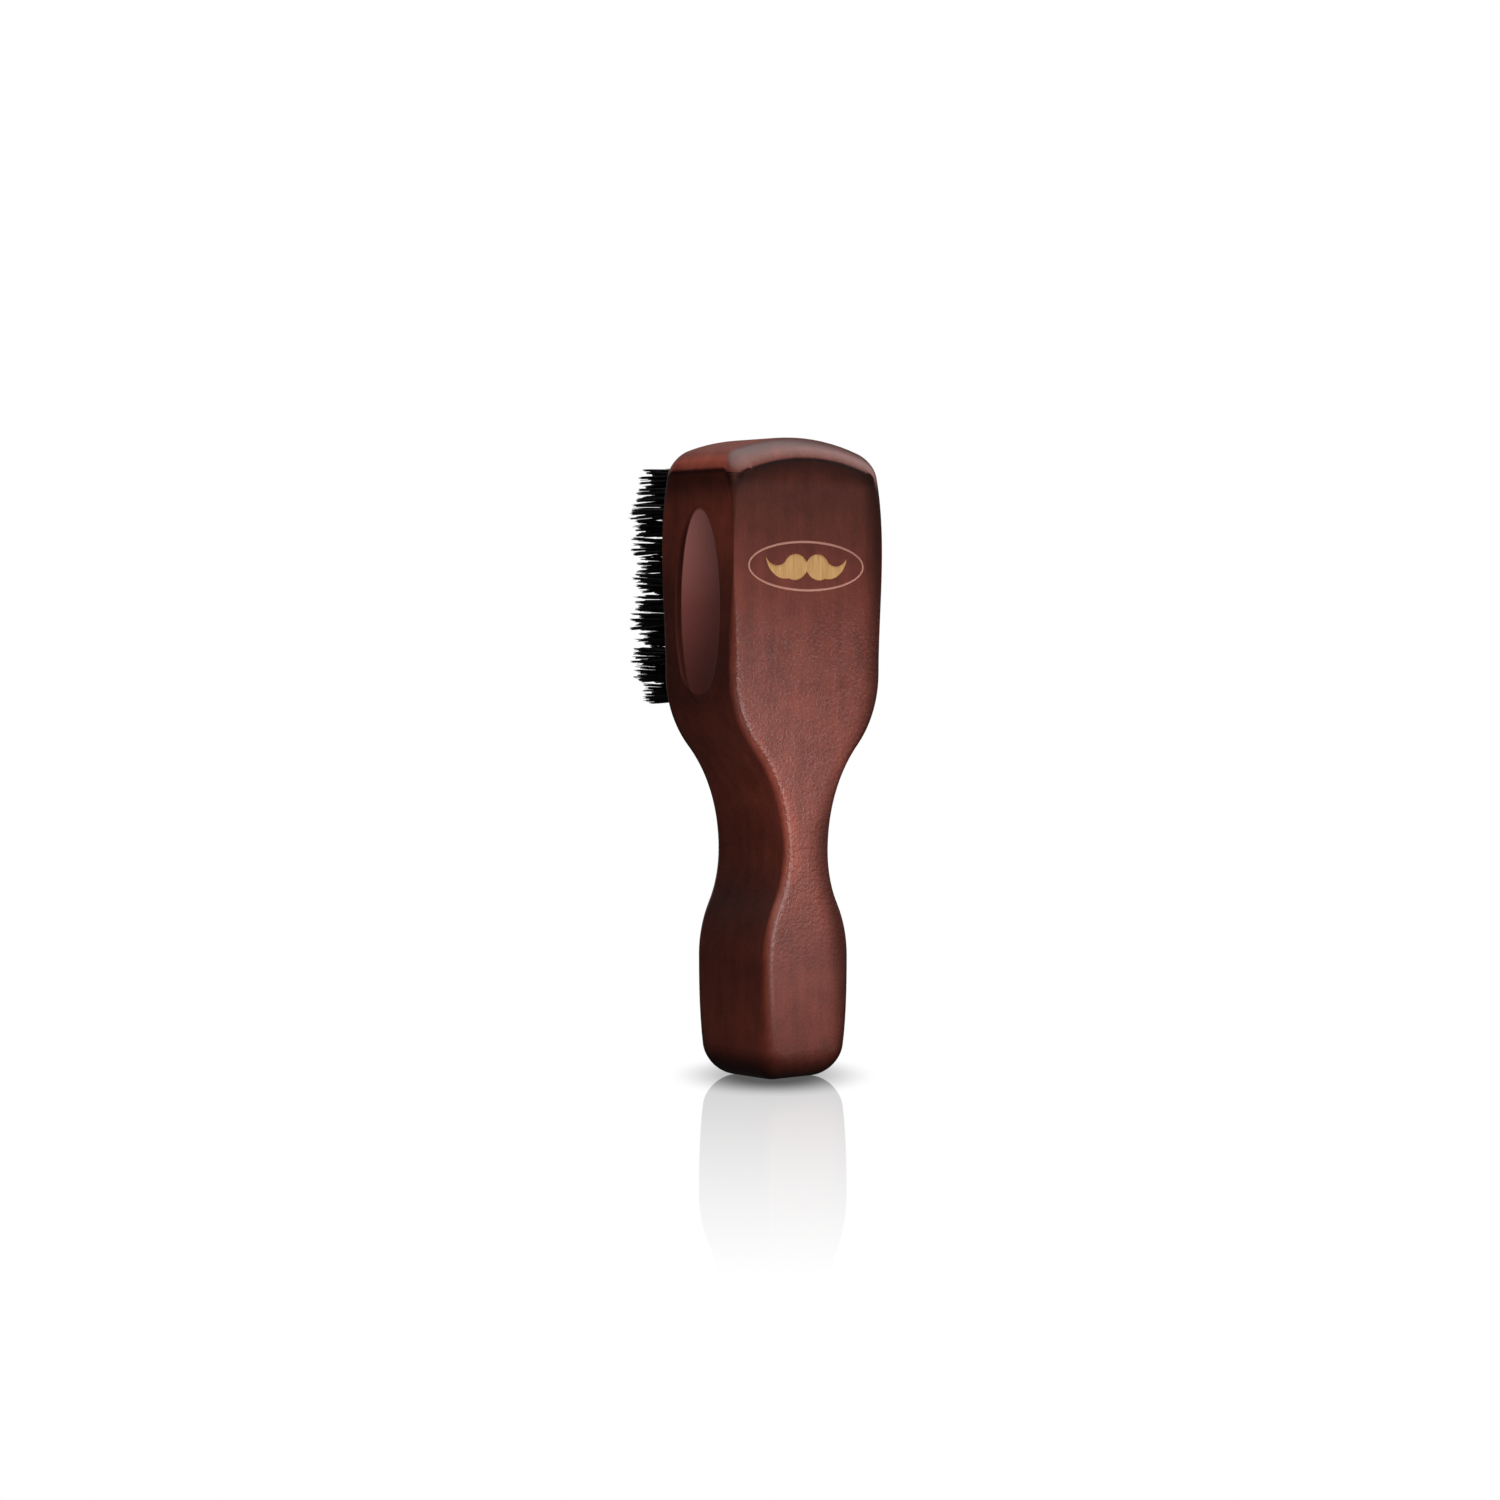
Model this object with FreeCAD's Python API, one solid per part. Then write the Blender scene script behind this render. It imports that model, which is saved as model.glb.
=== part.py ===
"""Club-shaped beard brush: a one-piece wooden body with tufts of bristle in drilled holes.

Millimetres.  +Z runs up the handle from the butt to the crown, +Y is the side that
the bristles point to, X is the width.  The origin is the centre of the butt's flat end.
"""
import FreeCAD, Part
import math
import os

from FreeCAD import Vector

# Body outline, seen from the back
overall_length = 160.0
head_width = 48.9
neck_width = 14.2
grip_width = 27.5
neck_height = 57.4
crown_radius = 64.0
top_corner_radius = 6.6
shoulder_radius = 27.0
upper_neck_radius = 37.3
lower_neck_radius = 29.4
grip_swell_radius = 29.1
butt_corner_radius = 7.8

# Body section: a board with its back and front outlines rounded over
thickness = 28.0
side_rounding = 2.2
neck_rounding = 1.8
top_corner_rounding = 3.6
crown_rounding = 6.2
butt_corner_rounding = 4.6
butt_rounding = 7.4

# Oval finger recess on each side of the head
recess_length = 49.0
recess_width = 17.6
recess_depth = 2.3
recess_height = 117.9
recess_rim_rounding = 0.4

# Tuft field on the front of the head
row_count = 13
row_pitch = 4.5
tuft_pitch = 4.5
full_row = 9
end_row_shortening = 2
first_row_height = 96.7
hole_diameter = 2.9
hole_depth = 7.0
tuft_root_diameter = 2.7
tuft_tip_diameter = 4.1
bristle_length = 17.5

# Flat-wire anchor across the fold of each tuft
anchor_width = 3.4
anchor_drop = 1.6
anchor_thickness = 0.35
anchor_lift = 0.9

# Mark engraved in the back of the head
mark_centre = (-0.8, 127.9)
mark_width = 38.0
mark_drop = 12.6
mark_line = 0.6
mark_depth = 0.2

back_y = -thickness / 2
front_y = thickness / 2
same_place = 1e-6


def arc(centre, radius, start_degrees, end_degrees):
    """Arc in the XZ plane; angles are measured from +X towards +Z."""
    middle_degrees = (start_degrees + end_degrees) / 2
    points = []
    for degrees in (start_degrees, middle_degrees, end_degrees):
        angle = math.radians(degrees)
        points.append(Vector(centre[0] + radius * math.cos(angle), 0, centre[1] + radius * math.sin(angle)))
    return Part.Arc(*points).toShape()


def line(start, end):
    return Part.LineSegment(Vector(start[0], 0, start[1]), Vector(end[0], 0, end[1])).toShape()


def swell_and_neck(half_width, swell_radius, neck_radius, direction):
    """Centres of a convex swell arc and a concave neck arc that touch, and their turn in degrees."""
    neck_centre = (neck_width / 2 + neck_radius, neck_height)
    across = neck_centre[0] - (half_width - swell_radius)
    along = math.sqrt((swell_radius + neck_radius) ** 2 - across ** 2)
    swell_centre = (half_width - swell_radius, neck_height + direction * along)
    return swell_centre, neck_centre, math.degrees(math.atan2(along, across))


def top_corner_place():
    """Centre of the right top corner, and the angle at which it meets the crown arc."""
    across = head_width / 2 - top_corner_radius
    rise = math.sqrt((crown_radius - top_corner_radius) ** 2 - across ** 2)
    centre = (across, overall_length - crown_radius + rise)
    return centre, math.degrees(math.atan2(rise, across))


def outline_side():
    """Edges of the right-hand side of the outline, from the butt's flat up to the crown arc."""
    grip_half = grip_width / 2
    head_half = head_width / 2
    grip_swell, lower_neck, grip_turn = swell_and_neck(grip_half, grip_swell_radius, lower_neck_radius, -1)
    shoulder, upper_neck, head_turn = swell_and_neck(head_half, shoulder_radius, upper_neck_radius, 1)
    butt_corner = (grip_half - butt_corner_radius, butt_corner_radius)
    top_corner, crown_meeting = top_corner_place()
    return [
        arc(butt_corner, butt_corner_radius, -90, 0),
        line((grip_half, butt_corner[1]), (grip_half, grip_swell[1])),
        arc(grip_swell, grip_swell_radius, 0, grip_turn),
        arc(lower_neck, lower_neck_radius, 180 + grip_turn, 180),
        arc(upper_neck, upper_neck_radius, 180, 180 - head_turn),
        arc(shoulder, shoulder_radius, -head_turn, 0),
        line((head_half, shoulder[1]), (head_half, top_corner[1])),
        arc(top_corner, top_corner_radius, 0, crown_meeting),
    ]


def plain_board():
    """The bandsawn board, before its edges are rounded."""
    right = outline_side()
    left = [edge.mirror(Vector(0, 0, 0), Vector(1, 0, 0)) for edge in right]
    crown_meeting = top_corner_place()[1]
    crown = arc((0, overall_length - crown_radius), crown_radius, crown_meeting, 180 - crown_meeting)
    butt_half = grip_width / 2 - butt_corner_radius
    butt = line((-butt_half, 0), (butt_half, 0))
    wire = Part.Wire(Part.__sortEdges__(right + left + [crown, butt]))
    board = Part.Face(wire).extrude(Vector(0, thickness, 0))
    board.translate(Vector(0, back_y, 0))
    return board


def rounding_at(height):
    """Edge rounding at a joint of the outline: full at crown and butt, crisper at the neck."""
    joints = [
        (0, butt_rounding),
        (butt_corner_radius, butt_corner_rounding),
        (neck_height, neck_rounding),
        (top_corner_place()[0][1], top_corner_rounding),
    ]
    for joint_height, rounding in joints:
        if abs(height - joint_height) < same_place:
            return rounding
    if height > top_corner_place()[0][1]:
        return crown_rounding
    return side_rounding


def rounded_board():
    """The board with its back and front outlines rounded over by a radius that changes on the way."""
    document = FreeCAD.newDocument("board")
    plain = document.addObject("Part::Feature", "plain")
    plain.Shape = plain_board()
    rounded = document.addObject("Part::Fillet", "rounded")
    rounded.Base = plain
    radii = []
    for number, edge in enumerate(plain.Shape.Edges, start=1):
        first, last = edge.Vertexes[0].Point, edge.Vertexes[-1].Point
        if abs(first.y - last.y) < same_place:
            radii.append((number, rounding_at(first.z), rounding_at(last.z)))
    rounded.Edges = radii
    document.recompute()
    return rounded.Shape.copy()


def finger_recess(side):
    """Cutter for the oval recess in one side of the head: the outside of a large ring.

    The ring's seam is turned to its inside, away from the wood.
    """
    long_radius = ((recess_length / 2) ** 2 + recess_depth ** 2) / (2 * recess_depth)
    short_radius = ((recess_width / 2) ** 2 + recess_depth ** 2) / (2 * recess_depth)
    centre = Vector(side * (head_width / 2 - recess_depth + long_radius), 0, recess_height)
    return Part.makeTorus(long_radius - short_radius, short_radius, centre, Vector(0, 1, 0), -180, 180, 360)


def soften_rims(body):
    """Rounds the rim where each finger recess breaks the side of the head."""
    rims = []
    for face in body.Faces:
        if face.Surface.TypeId == "Part::GeomToroid" and face.Surface.MajorRadius > crown_radius:
            rims += face.Edges
    return body.makeFillet(recess_rim_rounding, rims)


def ellipse_face(width, height):
    ellipse = Part.Ellipse(Vector(0, 0, 0), width / 2, height / 2).toShape()
    face = Part.Face(Part.Wire([ellipse]))
    face.rotate(Vector(0, 0, 0), Vector(1, 0, 0), 90)
    return face


def moustache_half():
    """Right half of a plain moustache, closed by four arcs and the line under the nose."""
    nose, brow, curl = (0, 1.1), (7.2, 0.9), (13.4, 2.5)
    belly, lip = (6.0, -3.1), (0, -1.3)
    arcs = [
        (nose, (3.7, 3.0), brow),
        (brow, (10.6, 0.2), curl),
        (curl, (10.8, -2.0), belly),
        (belly, (2.4, -3.2), lip),
    ]
    edges = [Part.Arc(*[Vector(x, 0, z) for x, z in points]).toShape() for points in arcs]
    edges.append(line(lip, nose))
    return Part.Face(Part.Wire(Part.__sortEdges__(edges)))


def mark_cutters():
    """An oval line and a moustache, as thin cutters that reach just into the back."""
    outer = ellipse_face(mark_width, mark_drop)
    inner = ellipse_face(mark_width - 2 * mark_line, mark_drop - 2 * mark_line)
    right = moustache_half()
    left = right.mirror(Vector(0, 0, 0), Vector(1, 0, 0))
    moustache = right.fuse(left).removeSplitter()
    cutters = []
    for face in outer.cut(inner).Faces + moustache.Faces:
        cutter = face.extrude(Vector(0, 2 * mark_depth, 0))
        cutter.translate(Vector(mark_centre[0], back_y - mark_depth, mark_centre[1]))
        cutters.append(cutter)
    return cutters


def row_places(row):
    """X places of the tufts in a row: every other row is set half a pitch over, end rows are shorter."""
    count = full_row - row % 2
    if row in (0, row_count - 1):
        count -= end_row_shortening
    return [tuft_pitch * (number - (count - 1) / 2) for number in range(count)]


def anchor(x, z):
    """Flat wire that crosses the fold of a tuft and bites into the wood at both ends."""
    corner = Vector(x - anchor_width / 2, front_y - hole_depth + anchor_lift, z - anchor_thickness / 2)
    return Part.makeBox(anchor_width, anchor_drop, anchor_thickness, corner)


def tuft(x, z):
    """A folded bundle: straight inside its hole, flaring to a trimmed tip, slotted for its anchor."""
    root_y = front_y - hole_depth
    tip_y = front_y + bristle_length
    profile = [
        Vector(0, root_y, 0),
        Vector(tuft_root_diameter / 2, root_y, 0),
        Vector(tuft_root_diameter / 2, front_y, 0),
        Vector(tuft_tip_diameter / 2, tip_y, 0),
        Vector(0, tip_y, 0),
    ]
    section = Part.Face(Part.makePolygon(profile + profile[:1]))
    bundle = section.revolve(Vector(0, 0, 0), Vector(0, 1, 0), 360)
    bundle.translate(Vector(x, 0, z))
    return bundle.cut(anchor(x, z))


def tuft_hole(x, z):
    """Drill for a blind hole, long enough to break through the front of the head."""
    drill_length = 2 * hole_depth
    bottom = Vector(x, front_y - hole_depth, z)
    return Part.makeCylinder(hole_diameter / 2, drill_length, bottom, Vector(0, 1, 0))


rows = []
for row in range(row_count):
    height = first_row_height + row * row_pitch
    rows.append([(x, height) for x in row_places(row)])
all_places = sum(rows, [])

body = rounded_board()
body = body.cut([finger_recess(-1), finger_recess(1)])
body = soften_rims(body)
body = body.cut(mark_cutters())
body = body.cut([tuft_hole(*place) for place in all_places])
body = body.cut([anchor(*place) for place in all_places])

nodes = {"wooden_body": body}
for number, places in enumerate(rows, start=1):
    nodes[f"bristle_row_{number:02d}"] = Part.makeCompound([tuft(*place) for place in places])
    nodes[f"anchor_row_{number:02d}"] = Part.makeCompound([anchor(*place) for place in places])

os.makedirs("parts", exist_ok=True)
for name, shape in nodes.items():
    shape.exportStep(f"parts/{name}.step")
    print(name, "solids", len(shape.Solids), "valid", shape.isValid(), "volume", round(shape.Volume, 1))
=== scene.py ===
import math
import random

import bpy
import numpy as np
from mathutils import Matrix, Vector


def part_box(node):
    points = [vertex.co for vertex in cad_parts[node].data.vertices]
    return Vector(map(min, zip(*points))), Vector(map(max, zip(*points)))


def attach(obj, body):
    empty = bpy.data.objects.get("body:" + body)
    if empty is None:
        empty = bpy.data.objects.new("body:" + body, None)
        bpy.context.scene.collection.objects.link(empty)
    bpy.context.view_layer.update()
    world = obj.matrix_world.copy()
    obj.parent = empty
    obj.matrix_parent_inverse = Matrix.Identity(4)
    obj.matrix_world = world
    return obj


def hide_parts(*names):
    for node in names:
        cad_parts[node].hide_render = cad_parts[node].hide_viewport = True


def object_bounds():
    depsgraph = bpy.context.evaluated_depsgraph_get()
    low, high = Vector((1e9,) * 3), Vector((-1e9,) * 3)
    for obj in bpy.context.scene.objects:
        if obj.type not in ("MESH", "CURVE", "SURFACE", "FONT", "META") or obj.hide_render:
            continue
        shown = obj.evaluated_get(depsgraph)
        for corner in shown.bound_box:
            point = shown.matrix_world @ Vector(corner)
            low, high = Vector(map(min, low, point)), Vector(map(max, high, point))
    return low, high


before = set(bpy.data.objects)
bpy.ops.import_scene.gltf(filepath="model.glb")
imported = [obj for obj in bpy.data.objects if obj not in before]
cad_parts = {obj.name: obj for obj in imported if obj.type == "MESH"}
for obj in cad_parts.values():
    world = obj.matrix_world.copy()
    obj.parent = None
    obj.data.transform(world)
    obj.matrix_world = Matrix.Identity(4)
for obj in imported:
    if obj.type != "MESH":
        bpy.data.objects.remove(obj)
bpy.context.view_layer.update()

bpy.ops.object.select_all(action="DESELECT")
mm = 0.001


# ---------------------------------------------------------------------------
# Wooden body: one bandsawn beech blank with a finger recess in each side of
# the head, its edges rounded over on a sander, stained mahogany red, and
# sprayed with a semi-gloss lacquer that has dried pebbly below the mark.
# ---------------------------------------------------------------------------
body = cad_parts["wooden_body"]
body_low, body_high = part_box("wooden_body")
mark_centre = Vector((-0.8 * mm, body_low.y, 127.9 * mm))
mark_half_width = 19.0 * mm
mark_half_drop = 6.3 * mm


def linear(code):
    """Turns an sRGB hex colour into the linear one that a shader takes."""
    channels = [int(code[start:start + 2], 16) / 255 for start in (1, 3, 5)]
    return [c / 12.92 if c <= 0.04045 else ((c + 0.055) / 1.055) ** 2.4 for c in channels] + [1]


def add(tree, kind, inputs=None, **settings):
    """Adds a shader node, sets its properties, and links or sets its inputs."""
    made = tree.nodes.new("ShaderNode" + kind)
    for name, value in settings.items():
        setattr(made, name, value)
    for name, value in (inputs or {}).items():
        if isinstance(value, bpy.types.Node):
            value = value.outputs[0]
        if isinstance(value, bpy.types.NodeSocket):
            tree.links.new(value, made.inputs[name])
        else:
            made.inputs[name].default_value = value
    return made


def new_material(name):
    made = bpy.data.materials.new(name)
    made.use_nodes = True
    made.node_tree.nodes.clear()
    return made, made.node_tree


def stretched(tree, place, width, length):
    """Coordinates in which a pattern is so wide across the grain and so long along it."""
    return add(tree, "Mapping", {"Vector": place, "Scale": (1 / width, 1 / width, 1 / length)})


# Stained beech: close-grained, so the stain takes almost evenly and only thin
# streaks and short dark flecks show, under a clear coat with a soft gloss.
wood, tree = new_material("stained_beech_semi_gloss_lacquer")
place = add(tree, "TexCoord").outputs["Object"]
axes = add(tree, "SeparateXYZ", {0: place})

streaks = add(tree, "TexNoise", {
    "Vector": stretched(tree, place, 0.4 * mm, 6 * mm), "Scale": 1, "Detail": 3, "Roughness": 0.6,
})
bands = add(tree, "TexNoise", {
    "Vector": stretched(tree, place, 3.5 * mm, 30 * mm), "Scale": 1, "Detail": 2, "Roughness": 0.5,
})
clouds = add(tree, "TexNoise", {"Vector": place, "Scale": 1 / (6 * mm), "Detail": 5, "Roughness": 0.6})
grain = add(tree, "Mix", {0: 0.5, 2: streaks, 3: bands})
grain = add(tree, "Mix", {0: 0.4, 2: grain, 3: clouds})
stain = add(tree, "ValToRGB", {"Fac": grain})
stain.color_ramp.elements[0].position = 0.37
stain.color_ramp.elements[0].color = linear("#602a1f")
stain.color_ramp.elements[1].position = 0.63
stain.color_ramp.elements[1].color = linear("#7c3a2d")

# Flecks of the rays: dark dashes about 0.12 mm wide and 1.5 mm long.
flecks = add(tree, "TexNoise", {
    "Vector": stretched(tree, place, 0.14 * mm, 1.6 * mm), "Scale": 1, "Detail": 1, "Roughness": 0.5,
})
fleck = add(tree, "MapRange", {"Value": flecks, 1: 0.66, 2: 0.74, 3: 0.0, 4: 0.55})
stained = add(tree, "Mix", {0: fleck, 6: stain.outputs["Color"], 7: linear("#2e100b")}, data_type="RGBA")

# Painted light and shade in the wood's colour: darker along the right-hand edges, under the crown, at the head's top
# and at the butt, set height by height on the side faces, lighter on the crown's roll and along the waist's left edge,
# and pale on the floors of the recesses.
outline = add(tree, "ValToRGB", {"Fac": add(tree, "Math", {0: axes.outputs["Z"], 1: body_high.z}, operation="DIVIDE")})
outline.color_ramp.interpolation = "B_SPLINE"
outline.color_ramp.elements[0].position = 0.0
outline.color_ramp.elements[1].position = 1.0
half_widths = ((0, 11.5), (8, 13.7), (26, 13.7), (40, 11.0), (50, 6.9), (57, 5.9), (65, 6.6), (78, 14.5), (90, 23.0),
               (98, 24.4), (148, 24.4), (160, 21.0))
for height, half_width in half_widths:
    if height in (0, 160):
        stop = outline.color_ramp.elements[0 if height == 0 else -1]
    else:
        stop = outline.color_ramp.elements.new(height * mm / body_high.z)
    stop.color = (half_width / 25, half_width / 25, half_width / 25, 1)
half_width = add(tree, "Math", {0: outline.outputs["Color"], 1: 25 * mm}, operation="MULTIPLY")
to_edge = add(tree, "Math", {0: half_width, 1: axes.outputs["X"]}, operation="SUBTRACT")
facing = add(tree, "SeparateXYZ", {0: add(tree, "TexCoord").outputs["Normal"]})


def graded(value, start, end, at_start, at_end):
    """A tone that goes smoothly from one value to the other between two places."""
    return add(tree, "MapRange", {"Value": value, 1: start, 2: end, 3: at_start, 4: at_end},
               interpolation_type="SMOOTHSTEP")


def product(first, second):
    return add(tree, "Math", {0: first, 1: second}, operation="MULTIPLY")


# Painted shade: darker towards the right-hand edge, towards the head's top and at the butt; darker on the grip below
# 30 mm and a little lighter above 50 mm.
edge_shade = graded(to_edge, 0.5 * mm, 7.5 * mm, 0.27, 1.0)
head_shade = graded(axes.outputs["Z"], 116 * mm, 152 * mm, 1.0, 0.55)
head_shade = product(head_shade, graded(axes.outputs["Z"], 84 * mm, 106 * mm, 1.0, 0.9))
butt_shade = graded(axes.outputs["Z"], 0.0, 13 * mm, 0.42, 1.0)
grip_shade = graded(axes.outputs["Z"], 30 * mm, 50 * mm, 0.84, 1.06)
at_crown = graded(axes.outputs["Z"], 146.5 * mm, 150.5 * mm, 0.0, 1.0)
to_right = add(tree, "Math", {0: facing.outputs["X"], 1: 0.0}, operation="MAXIMUM")
turned_over = add(tree, "CombineXYZ", {0: to_right, 1: facing.outputs["Z"]})
turned_over = add(tree, "VectorMath", {0: turned_over}, operation="LENGTH").outputs["Value"]
turned_over = add(tree, "Math", {0: turned_over, 1: add(tree, "Math", {0: facing.outputs["Z"]}, operation="SIGN")},
                  operation="MULTIPLY")
# Painted shade and highlight on the crown: darker where the wood starts to turn, then 2.3 times brighter on the roll
# as a highlight.
crown_shade_and_highlight = add(tree, "ValToRGB", {"Fac": turned_over})
crown_shade_and_highlight.color_ramp.elements[0].color = (0.95, 0.95, 0.95, 1)
crown_shade_and_highlight.color_ramp.elements[1].color = (1, 1, 1, 1)
for position, level in ((0.03, 0.6), (0.1, 0.35), (0.22, 2.3), (0.5, 2.3), (0.75, 1.1)):
    crown_shade_and_highlight.color_ramp.elements.new(position).color = (level, level, level, 1)
edge_shade = add(tree, "Mix", {0: product(at_crown, graded(turned_over, 0.1, 0.22, 0.0, 1.0)), 2: edge_shade, 3: 1.0})
tone = product(product(edge_shade, head_shade), product(butt_shade, grip_shade))
crown_shade_and_highlight = crown_shade_and_highlight.outputs["Color"]
tone = product(tone, add(tree, "Mix", {0: at_crown, 2: 1.0, 3: crown_shade_and_highlight}))
# Painted shade: a darker arc just below the crown's roll.
from_crown_centre = add(tree, "VectorMath", {0: place, 1: (0, 0, 96 * mm)}, operation="SUBTRACT")
from_crown_centre = add(tree, "VectorMath", {0: from_crown_centre, 1: (1, 0, 1)}, operation="MULTIPLY")
crown_reach = add(tree, "VectorMath", {0: from_crown_centre}, operation="LENGTH").outputs["Value"]
shade_line = graded(crown_reach, 53 * mm, 58 * mm, 1.0, 0.45)
shade_line = add(tree, "Mix", {0: graded(turned_over, 0.1, 0.22, 0.0, 1.0), 2: shade_line, 3: 1.0})
shade_line = add(tree, "Mix", {0: graded(axes.outputs["Z"], 130 * mm, 138 * mm, 0.0, 1.0), 2: 1.0, 3: shade_line})
tone = product(tone, shade_line)
on_side = graded(add(tree, "Math", {0: facing.outputs["Y"]}, operation="ABSOLUTE"), 0.05, 0.4, 1.0, 0.0)
# Painted light and shade on the side faces: a brightness set height by height, darkest at about 44 mm and 102 mm, and
# lighter towards the back.
side_shade = add(tree, "ValToRGB", {"Fac": add(tree, "Math", {0: axes.outputs["Z"], 1: body_high.z}, operation="DIVIDE")})
side_shade.color_ramp.interpolation = "EASE"
side_shade.color_ramp.elements[0].color = (0.6, 0.6, 0.6, 1)
side_shade.color_ramp.elements[1].color = (1, 1, 1, 1)
for height, level in ((12, 0.5), (30, 0.36), (44, 0.15), (58, 0.38), (72, 0.66), (86, 0.55), (102, 0.24), (120, 0.34), (140, 1.0)):
    side_shade.color_ramp.elements.new(height * mm / body_high.z).color = (level, level, level, 1)
side_shade = product(side_shade.outputs["Color"], graded(axes.outputs["Y"], -13 * mm, 13 * mm, 2.5, 1.9))
tone = product(tone, add(tree, "Mix", {0: on_side, 2: 1.0, 3: side_shade}))
to_left = add(tree, "Math", {0: half_width, 1: axes.outputs["X"]}, operation="ADD")
at_waist = product(graded(axes.outputs["Z"], 44 * mm, 56 * mm, 0.0, 1.0),
                   graded(axes.outputs["Z"], 78 * mm, 96 * mm, 1.0, 0.0))
# Painted highlight: the stain is made 1.5 times lighter along the waist's left-hand edge.
painted_waist_highlight = product(product(graded(to_left, 0.5 * mm, 6 * mm, 1.0, 0.0), at_waist), graded(on_side, 0.0, 1.0, 1.0, 0.0))
tone = product(tone, add(tree, "Mix", {0: painted_waist_highlight, 2: 1.0, 3: 1.5}))

# Recess floors: painted light, an oval whose colour runs from dark red-brown at the bottom to pale salmon at the top.
recess_y = add(tree, "Math", {0: axes.outputs["Y"], 1: 0.7 * mm}, operation="ADD")
recess_y = add(tree, "Math", {0: recess_y, 1: 8.1 * mm}, operation="DIVIDE")
recess_z = add(tree, "Math", {0: axes.outputs["Z"], 1: 117.9 * mm}, operation="SUBTRACT")
recess_z = add(tree, "Math", {0: recess_z, 1: 24.5 * mm}, operation="DIVIDE")
recess_oval = add(tree, "CombineXYZ", {0: recess_y, 1: recess_z})
recess_reach = add(tree, "VectorMath", {0: recess_oval}, operation="LENGTH").outputs["Value"]
off_middle = add(tree, "Math", {0: axes.outputs["X"]}, operation="ABSOLUTE")
in_recess = product(graded(recess_reach, 0.96, 1.0, 1.0, 0.0), graded(off_middle, 15 * mm, 16 * mm, 0.0, 1.0))
recess_painted_light = add(tree, "ValToRGB", {"Fac": graded(axes.outputs["Z"], 94 * mm, 142 * mm, 0.0, 1.0)})
recess_painted_light.color_ramp.elements[0].color = linear("#5f312b")
recess_painted_light.color_ramp.elements[1].color = linear("#dc8e87")
recess_painted_light.color_ramp.elements.new(0.5).color = linear("#a25d57")
carved_y = add(tree, "Math", {0: axes.outputs["Y"], 1: 8.8 * mm}, operation="DIVIDE")
carved_oval = add(tree, "CombineXYZ", {0: carved_y, 1: recess_z})
carved_reach = add(tree, "VectorMath", {0: carved_oval}, operation="LENGTH").outputs["Value"]
# Painted shade: the carved recess is darkened to 0.45 inside its rim.
tone = product(tone, graded(carved_reach, 0.93, 1.0, 0.45, 1.0))
# Painted shade: the far (+X) side faces take one even darkening to 0.7 instead.
far_side = product(on_side, graded(axes.outputs["X"], 0.0, 2 * mm, 0.0, 1.0))
tone = add(tree, "Mix", {0: far_side, 2: tone, 3: 0.7})
shaded = add(tree, "VectorMath", {0: stained.outputs[2], "Scale": tone}, operation="SCALE")
# Painted light: the near recess floor takes this colour fully, the far one a quarter of it.
pale = product(in_recess, graded(axes.outputs["X"], 0.0, 2 * mm, 1.0, 0.25))
shaded = add(tree, "Mix", {0: pale, 6: shaded, 7: recess_painted_light.outputs["Color"]}, data_type="RGBA")

# The mark is cut 0.2 mm deep through the finish, so it shows the pale beech.
across = add(tree, "Math", {0: axes.outputs["X"], 1: mark_centre.x}, operation="SUBTRACT")
across = add(tree, "Math", {0: across, 1: mark_half_width}, operation="DIVIDE")
along = add(tree, "Math", {0: axes.outputs["Z"], 1: mark_centre.z}, operation="SUBTRACT")
along = add(tree, "Math", {0: along, 1: mark_half_drop}, operation="DIVIDE")
ring = add(tree, "VectorMath", {0: add(tree, "CombineXYZ", {0: across, 1: along})}, operation="LENGTH")
ring = ring.outputs["Value"]
cut_start = mark_centre.y + 0.07 * mm
cut_end = mark_centre.y + 1 * mm
below = add(tree, "Math", {0: axes.outputs["Y"], 1: cut_start}, operation="GREATER_THAN")
above = add(tree, "Math", {0: axes.outputs["Y"], 1: cut_end}, operation="LESS_THAN")
inside = add(tree, "Math", {0: ring, 1: 1.02}, operation="LESS_THAN")
cut = add(tree, "Math", {0: below, 1: above}, operation="MULTIPLY")
cut = add(tree, "Math", {0: cut, 1: inside}, operation="MULTIPLY")
bare = add(tree, "ValToRGB", {"Fac": streaks})
bare.color_ramp.elements[0].position = 0.35
bare.color_ramp.elements[0].color = linear("#b98a55")
bare.color_ramp.elements[1].position = 0.65
bare.color_ramp.elements[1].color = linear("#cfa56c")
rim = add(tree, "Math", {0: ring, 1: 0.9}, operation="GREATER_THAN")
opened = add(tree, "Mix", {0: rim, 6: bare.outputs["Color"], 7: linear("#c89483")}, data_type="RGBA")
colour = add(tree, "Mix", {0: cut, 6: shaded.outputs[2], 7: opened.outputs[2]}, data_type="RGBA")

# Orange peel: pebbles about 1 mm across where the lacquer lay thick, and a few larger pimples.
peel_top = add(tree, "MapRange", {"Value": axes.outputs["Z"], 1: 110 * mm, 2: 124 * mm, 3: 1.0, 4: 0.15})
peel_low = add(tree, "MapRange", {"Value": axes.outputs["Z"], 1: 26 * mm, 2: 48 * mm, 3: 0.15, 4: 1.0})
facing_out = add(tree, "Math", {0: facing.outputs["Y"]}, operation="ABSOLUTE")
peel_zone = product(product(peel_top, peel_low), graded(facing_out, 0.7, 0.99, 0.15, 1.0))
pebbles = add(tree, "TexNoise", {"Vector": place, "Scale": 1 / (0.8 * mm), "Detail": 1, "Roughness": 0.5})
peel = add(tree, "Math", {0: pebbles, 1: peel_zone}, operation="MULTIPLY")
specks = add(tree, "TexVoronoi", {"Vector": place, "Scale": 1 / (3 * mm), "Randomness": 1.0})
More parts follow.
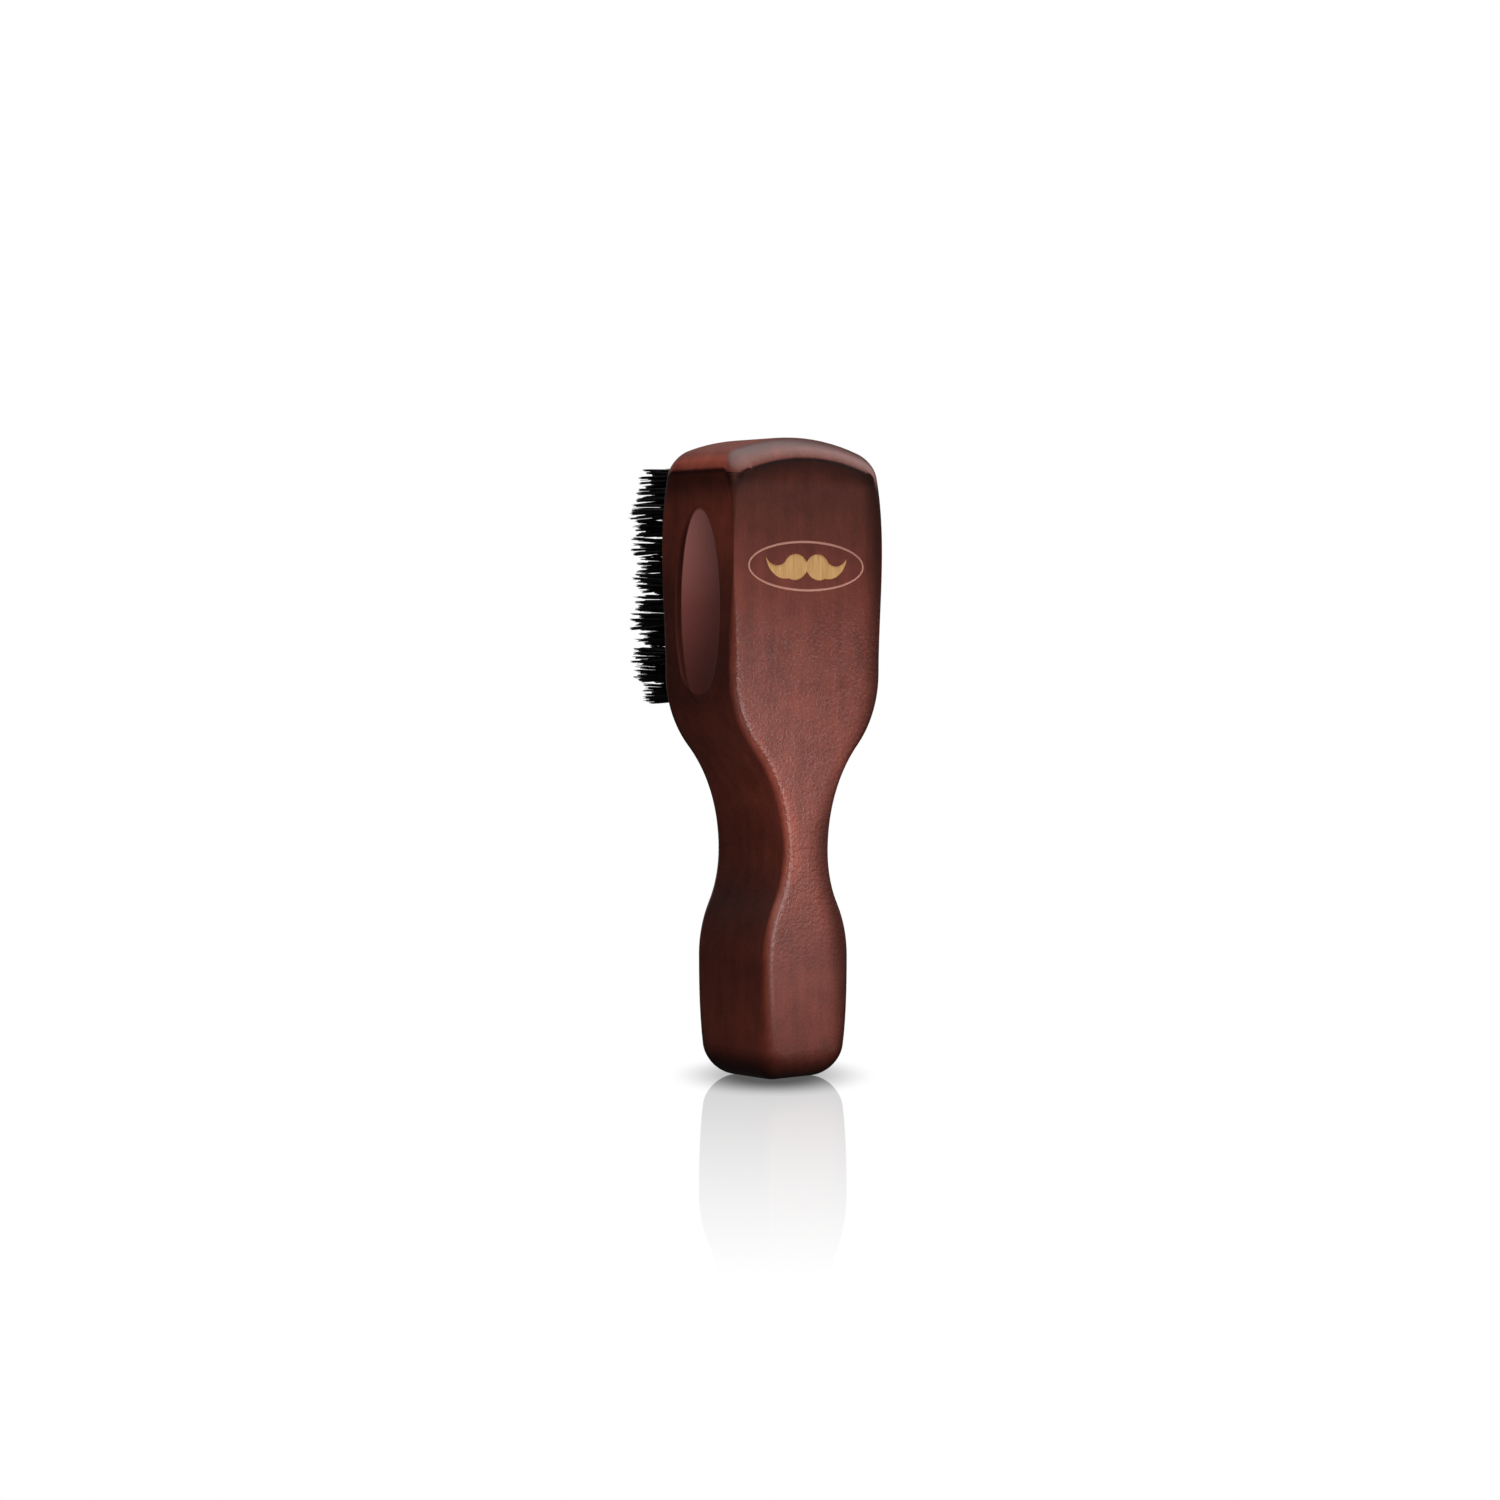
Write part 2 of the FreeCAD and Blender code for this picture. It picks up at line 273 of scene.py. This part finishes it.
pimple = add(tree, "MapRange", {"Value": specks.outputs["Distance"], 1: 0.02, 2: 0.17, 3: 1.0, 4: 0.0},
             interpolation_type="SMOOTHSTEP")
chosen = add(tree, "Math", {0: specks.outputs["Color"], 1: 0.5}, operation="GREATER_THAN")
pimple = product(product(pimple, chosen), peel_zone)
fine_bump = add(tree, "Bump", {"Height": streaks, "Distance": 0.01 * mm, "Strength": 1.0})
peel_bump = add(tree, "Bump", {"Height": peel, "Distance": 0.32 * mm, "Strength": 1.0, "Normal": fine_bump})
pimple_bump = add(tree, "Bump", {"Height": pimple, "Distance": 0.1 * mm, "Strength": 1.0, "Normal": peel_bump})

# The coat is thin on the sharp right-hand edges, under the crown and in the recesses.
coat = graded(to_edge, 1 * mm, 9 * mm, 0.0, 1.0)
coat = add(tree, "Mix", {0: product(at_crown, graded(turned_over, 0.1, 0.22, 0.0, 1.0)), 2: coat, 3: 1.0})
coat = product(coat, add(tree, "Mix", {0: in_recess, 2: 1.0, 3: 0.3}))
under_crown = product(at_crown, graded(turned_over, 0.1, 0.22, 1.0, 0.0))
coat = product(coat, graded(under_crown, 0.0, 1.0, 1.0, 0.15))
rounded = product(graded(facing_out, 0.1, 0.3, 0.0, 1.0), graded(facing_out, 0.85, 0.98, 1.0, 0.0))
waist = product(graded(axes.outputs["Z"], 34 * mm, 46 * mm, 0.25, 1.0),
                graded(axes.outputs["Z"], 92 * mm, 108 * mm, 1.0, 0.4))
waist = add(tree, "Mix", {0: at_crown, 2: waist, 3: 1.0})
coat = product(coat, add(tree, "Mix", {0: rounded, 2: 1.0, 3: waist}))
coat = product(coat, add(tree, "Mix", {0: on_side, 2: 1.0, 3: 0.5}))
coat = product(coat, add(tree, "Mix", {0: product(graded(axes.outputs["Z"], 100 * mm, 140 * mm, 0.0, 1.0), graded(turned_over, 0.1, 0.3, 1.0, 0.0)), 2: 1.0, 3: 0.5}))
shader = add(tree, "BsdfPrincipled", {
    "Base Color": colour.outputs[2], "Roughness": 0.5, "IOR": 1.5, "Specular IOR Level": 0.15,
    "Coat Weight": coat, "Coat Roughness": 0.42, "Coat IOR": 1.5,
    "Normal": pimple_bump, "Coat Normal": pimple_bump,
})
add(tree, "OutputMaterial", {"Surface": shader})
body.data.materials.clear()
body.data.materials.append(wood)


# ---------------------------------------------------------------------------
# Bristles: 13 rows of black bristle tufts. Each real tuft is a bundle folded in half and stapled into its blind hole,
# trimmed by hand, so the tips are ragged and stand together in small clumps; here each strand runs straight from
# inside the hole to its tip, with no fold.
# ---------------------------------------------------------------------------
front = body_high.y
tip_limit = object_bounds()[1].y - 0.1 * mm
tuft_pitch = 4.5 * mm
tuft_tip_diameter = 4.1 * mm
root_depth = 5.0 * mm
root_radius = 1.25 * mm
clumps = 15
strands_in_clump = 9
strand_radius = 0.115 * mm
short_length = 14.0 * mm
long_length = 16.3 * mm

# One strand, standing on the origin and one unit tall: a drawn filament with a blunt cut tip.
bpy.ops.mesh.primitive_circle_add(vertices=5, radius=strand_radius, fill_type="NGON", location=(0, 0, 0))
strand = bpy.context.object
strand.name = "strand"
bpy.ops.object.mode_set(mode="EDIT")
bpy.ops.mesh.select_all(action="SELECT")
for rise, narrowing in ((0.35, 1.0), (0.3, 0.97), (0.23, 0.9), (0.12, 0.6)):
    bpy.ops.mesh.extrude_region_move(TRANSFORM_OT_translate={"value": (0, 0, rise)})
    bpy.ops.transform.resize(value=(narrowing, narrowing, 1))
bpy.ops.mesh.select_all(action="SELECT")
bpy.ops.mesh.normals_make_consistent(inside=False)
bpy.ops.object.mode_set(mode="OBJECT")
strand_points = np.array([vertex.co for vertex in strand.data.vertices])
strand_faces = [list(face.vertices) for face in strand.data.polygons]
bpy.data.objects.remove(strand)

bristle, tree = new_material("black_boar_bristle")
tone = add(tree, "Attribute", attribute_name="strand_tone").outputs["Fac"]
hair = add(tree, "ValToRGB", {"Fac": tone})
hair.color_ramp.elements[0].color = linear("#0a0909")
hair.color_ramp.elements[1].color = linear("#1d1b1a")
shine = add(tree, "MapRange", {"Value": tone, 3: 0.5, 4: 0.32})
shader = add(tree, "BsdfPrincipled", {
    "Base Color": hair.outputs["Color"], "Roughness": shine, "IOR": 1.55, "Specular IOR Level": 0.4,
})
add(tree, "OutputMaterial", {"Surface": shader})


def disc(chance, radius):
    """A random point in a disc."""
    angle = chance.uniform(0, 2 * math.pi)
    reach = radius * math.sqrt(chance.random())
    return np.array((reach * math.cos(angle), reach * math.sin(angle)))


def bent(root, tip, bow, length):
    """The strand, moved to run out of the head from root to tip, with a slight bow."""
    rise = strand_points[:, 2:3]
    flare = np.clip((rise - 0.22) / 0.78, 0, 1) ** 0.45
    middle = root + (tip - root) * flare + bow * rise * (1 - rise)
    out = np.empty_like(strand_points)
    out[:, 0] = middle[:, 0] + strand_points[:, 0]
    out[:, 1] = front - root_depth + rise[:, 0] * length
    out[:, 2] = middle[:, 1] - strand_points[:, 1]
    return out


field_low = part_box("bristle_row_01")[0]
field_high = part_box("bristle_row_13")[1]
field_middle = (field_low.z + field_high.z) / 2
field_half = (field_high.z - field_low.z) / 2

for number in range(1, 14):
    node = f"bristle_row_{number:02d}"
    row_low, row_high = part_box(node)
    tufts = round((row_high.x - row_low.x - tuft_tip_diameter) / tuft_pitch) + 1
    row_height = (row_low.z + row_high.z) / 2
    chance = random.Random(number)
    outermost = tuft_pitch * (tufts - 1) / 2
    fan = 1.7 * mm + 0.45 * (18 * mm - outermost)
    points, faces, tones = [], [], []
    for place_in_row in range(tufts):
        tuft_x = tuft_pitch * (place_in_row - (tufts - 1) / 2)
        centre = np.array((tuft_x, row_height))
        tuft_length = chance.uniform(short_length, long_length)
        splay = np.array((fan * tuft_x / outermost, 0.2 * mm * (row_height - field_middle) / field_half))
        lean = disc(chance, 0.7 * mm)
        for clump in range(clumps):
            turn = clump * math.radians(137.5)
            reach = math.sqrt((clump + 0.5) / clumps)
            heading = np.array((math.cos(turn), math.sin(turn))) * reach
            clump_tip = centre + splay + lean + heading * 2.6 * mm + disc(chance, 0.45 * mm)
            clump_length = tuft_length + chance.uniform(-0.9, 0.9) * mm
            for _ in range(strands_in_clump):
                root = centre + heading * (root_radius - 0.3 * mm) + disc(chance, 0.3 * mm)
                tip = clump_tip + disc(chance, 0.34 * mm)
                length = clump_length + chance.uniform(-0.7, 0.5) * mm
                if chance.random() < 0.03:
                    length += chance.uniform(0.5, 1.6) * mm
                length = min(length + root_depth, tip_limit - front + root_depth)
                start = len(points) * len(strand_points)
                points.append(bent(root, tip, disc(chance, 0.35 * mm), length))
                faces += [[corner + start for corner in face] for face in strand_faces]
                tones += [chance.random()] * len(strand_points)
    mesh = bpy.data.meshes.new(f"bristles_{number:02d}")
    mesh.from_pydata(np.concatenate(points).tolist(), [], faces)
    mesh.attributes.new("strand_tone", "FLOAT", "POINT").data.foreach_set("value", tones)
    mesh.polygons.foreach_set("use_smooth", [True] * len(faces))
    mesh.materials.append(bristle)
    row = bpy.data.objects.new(f"bristles_{number:02d}", mesh)
    bpy.context.scene.collection.objects.link(row)
    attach(row, "root")
    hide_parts(node)


# ---------------------------------------------------------------------------
# Anchors: flat drawn steel wire, cut and driven across the fold of each tuft,
# so it holds the tuft down by biting into the wood at both ends.
# ---------------------------------------------------------------------------
wire, tree = new_material("drawn_steel_wire")
place = add(tree, "TexCoord").outputs["Object"]
scratches = add(tree, "TexNoise", {
    "Vector": add(tree, "Mapping", {"Vector": place, "Scale": (1 / (2 * mm), 1 / (0.05 * mm), 1 / (0.05 * mm))}),
    "Scale": 1, "Detail": 2,
})
draw_marks = add(tree, "MapRange", {"Value": scratches, 1: 0.3, 2: 0.7, 3: 0.25, 4: 0.45})
steel = add(tree, "ValToRGB", {"Fac": scratches})
steel.color_ramp.elements[0].color = linear("#9c9a94")
steel.color_ramp.elements[1].color = linear("#c9c6be")
shader = add(tree, "BsdfPrincipled", {
    "Base Color": steel.outputs["Color"], "Metallic": 1.0, "Roughness": draw_marks,
})
add(tree, "OutputMaterial", {"Surface": shader})
for number in range(1, 14):
    anchor_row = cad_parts[f"anchor_row_{number:02d}"]
    anchor_row.data.materials.clear()
    anchor_row.data.materials.append(wire)


# ---------------------------------------------------------------------------
# Studio: a sheet of white acrylic under a soft white surround. The sheet glows white, carries a painted contact shadow
# around the brush, and mirrors it.
# ---------------------------------------------------------------------------
scene = bpy.context.scene
scene.view_settings.view_transform = "Standard"

bpy.ops.mesh.primitive_plane_add(size=6)
floor = bpy.context.object
floor.name = "floor"
floor.visible_diffuse = False
floor.visible_glossy = False
acrylic, tree = new_material("white_gloss_acrylic")
place = add(tree, "TexCoord").outputs["Object"]
reach = add(tree, "VectorMath", {0: place}, operation="LENGTH").outputs["Value"]
mirror = add(tree, "MapRange", {"Value": reach, 1: 0.01, 2: 0.27, 3: 0.36, 4: 0.0})
# Painted contact shadow: an oval 27 by 44 mm, turned 40.1 degrees, down to 0.16 in its middle.
turned = add(tree, "Mapping", {"Vector": place, "Rotation": (0, 0, math.radians(40.1))})
turned = add(tree, "Mapping", {"Vector": turned, "Scale": (1 / (27 * mm), 1 / (44 * mm), 1)})
shadow_reach = add(tree, "VectorMath", {0: turned}, operation="LENGTH").outputs["Value"]
shadow = add(tree, "MapRange", {"Value": shadow_reach, 1: 0.3, 2: 1.0, 3: 0.16, 4: 1.0},
             interpolation_type="SMOOTHSTEP")
glow = add(tree, "Emission", {"Color": (1, 1, 1, 1), "Strength": shadow})
gloss = add(tree, "BsdfGlossy", {"Color": (1, 1, 1, 1), "Roughness": 0})
sheet = add(tree, "MixShader", {0: mirror, 1: glow, 2: gloss})
add(tree, "OutputMaterial", {"Surface": sheet})
floor.data.materials.append(acrylic)

world = bpy.data.worlds.new("studio")
scene.world = world
world.use_nodes = True
tree = world.node_tree
tree.nodes.clear()
path = add(tree, "LightPath")
plain = add(tree, "Math", {0: path.outputs["Is Camera Ray"], 1: path.outputs["Is Singular Ray"]}, operation="MAXIMUM")
direction = add(tree, "TexCoord").outputs["Generated"]


def aim(azimuth, elevation):
    """Unit vector towards that azimuth, counted from +X, and elevation, both in degrees."""
    level = math.cos(math.radians(elevation))
    return Vector((
        level * math.cos(math.radians(azimuth)),
        level * math.sin(math.radians(azimuth)),
        math.sin(math.radians(elevation)),
    ))


light = 0.03
for centre, inner, outer, radiance in (
    (aim(275, 74), 34, 52, 2.0),
    (aim(80, 20), 6, 34, 0.3),
    (aim(342, 27), 8, 26, 2.1),
):
    nearness = add(tree, "VectorMath", {0: direction, 1: centre}, operation="DOT_PRODUCT").outputs["Value"]
    edge = (math.cos(math.radians(outer)), math.cos(math.radians(inner)))
    panel = add(tree, "MapRange", {"Value": nearness, 1: edge[0], 2: edge[1], 3: 0.0, 4: radiance},
                interpolation_type="SMOOTHSTEP")
    light = add(tree, "Math", {0: light, 1: panel}, operation="ADD").outputs[0]
surround = add(tree, "Background", {"Color": (1, 1, 1, 1), "Strength": light})
bright = add(tree, "Background", {"Color": (1, 1, 1, 1), "Strength": 1})
both = add(tree, "MixShader", {0: plain, 1: surround, 2: bright})
add(tree, "OutputWorld", {"Surface": both})

flagged_off = bpy.data.collections.new("flagged_off")
flagged_off.objects.link(floor)
flagged_off.collection_objects[0].light_linking.link_state = "EXCLUDE"
for name, azimuth, height, width, drop, power in (
    ("key_softbox", 258, 58, 110, 60, 0.128),
    ("sheen_softbox", 305, 46, 40, 70, 0.009),
):
    softbox = bpy.data.lights.new(name, "AREA")
    softbox.shape = "RECTANGLE"
    softbox.size = width * mm
    softbox.size_y = drop * mm
    softbox.energy = power
    lamp = bpy.data.objects.new(name, softbox)
    target = Vector((0, body_low.y, height * mm))
    lamp.location = target + aim(azimuth, 0) * 110 * mm
    lamp.rotation_euler = (target - lamp.location).to_track_quat("-Z", "Y").to_euler()
    lamp.visible_camera = False
    lamp.light_linking.receiver_collection = flagged_off
    scene.collection.objects.link(lamp)


# ---------------------------------------------------------------------------
# Camera: a long lens a little below the top of the head, turned to see the
# back and the left side together.
# ---------------------------------------------------------------------------
turn = math.radians(40.1)
tilt = math.radians(-1.82)
towards_camera = Vector((-math.sin(turn), -math.cos(turn), 0))
to_the_right = Vector((math.cos(turn), -math.sin(turn), 0))
lens = bpy.data.cameras.new("camera")
lens.lens = 80.9
lens.sensor_width = 36
lens.clip_start = 0.01
camera = bpy.data.objects.new("camera", lens)
camera.location = towards_camera * 847.7 * mm - to_the_right * 5.72 * mm + Vector((0, 0, 108.9 * mm))
camera.rotation_euler = (math.radians(90) + tilt, 0, -turn)
scene.collection.objects.link(camera)
scene.camera = camera
